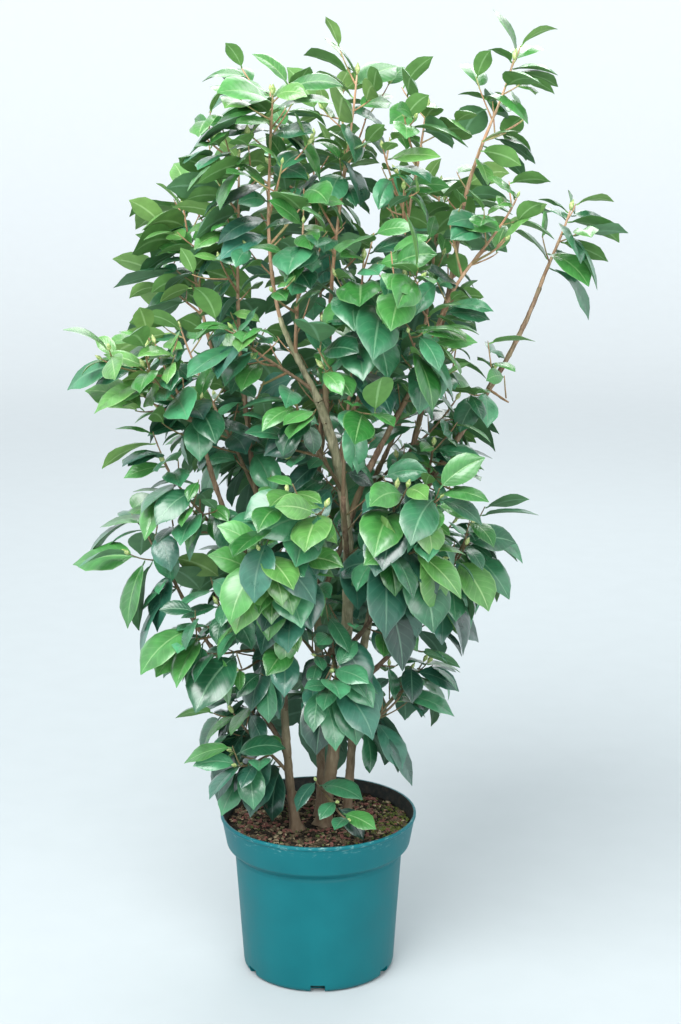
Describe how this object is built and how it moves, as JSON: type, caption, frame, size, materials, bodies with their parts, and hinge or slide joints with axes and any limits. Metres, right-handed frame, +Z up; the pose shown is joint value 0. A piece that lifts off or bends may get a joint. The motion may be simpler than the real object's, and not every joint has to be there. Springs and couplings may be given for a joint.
{
  "type": "camellia shrub in a pot",
  "caption": "Leafy evergreen camellia shrub with upright woody stems, growing in compost in a tapered plastic nursery pot with a collar.",
  "frame": {"origin": "centre of the pot's flat underside", "axes": "+Z up along the pot's axis; +Y away from the front; +X to the right as seen from the front"},
  "size_m": [0.5936, 0.4982, 1.0287],
  "materials": {
    "pot": "satin teal green moulded plastic",
    "compost": "coarse dark brown bark compost",
    "bark": "thin grey-brown bark",
    "leaf": "glossy dark green leaf"
  },
  "bodies": {
    "root": {"pot": "pot", "compost": "compost", "trunk": "bark", "stem_left": "bark", "stem_right": "bark", "stem_back": "bark", "bough_centre_left": "bark", "bough_centre": "bark", "bough_mid_right": "bark", "bough_upper_right": "bark", "bough_front_high": "bark", "bough_front_right": "bark", "bough_left": "bark", "bough_upper_left": "bark", "bough_front": "bark", "bough_low_left": "bark", "bough_right": "bark", "bough_upright": "bark", "bough_low_right": "bark", "bough_back_left": "bark", "bough_back": "bark", "bough_back_right": "bark", "bough_low_back": "bark", "foliage_top_left": "leaf", "foliage_top_centre": "leaf", "foliage_top_mid": "leaf", "foliage_top_right": "leaf", "foliage_upper_right": "leaf", "foliage_far_right": "leaf", "foliage_upper_left": "leaf", "foliage_back_left_top": "leaf", "foliage_back_top": "leaf", "foliage_back_right_top": "leaf", "foliage_left": "leaf", "foliage_left_inner": "leaf", "foliage_left_mid": "leaf", "foliage_centre_front": "leaf", "foliage_centre": "leaf", "foliage_centre_left": "leaf", "foliage_centre_right": "leaf", "foliage_right_mid": "leaf", "foliage_right_inner": "leaf", "foliage_back_mid_left": "leaf", "foliage_back_mid": "leaf", "foliage_back_mid_right": "leaf", "foliage_heart": "leaf", "foliage_front": "leaf", "foliage_front_right": "leaf", "foliage_low_left": "leaf", "foliage_low_right": "leaf", "foliage_skirt_left": "leaf", "foliage_skirt_front": "leaf", "foliage_low_back": "leaf", "foliage_skirt_back_left": "leaf", "foliage_skirt_back_right": "leaf", "foliage_foot_left": "leaf", "foliage_foot_front": "leaf", "foliage_foot_right": "leaf", "foliage_foot_back": "leaf"}
  },
  "joints": []
}
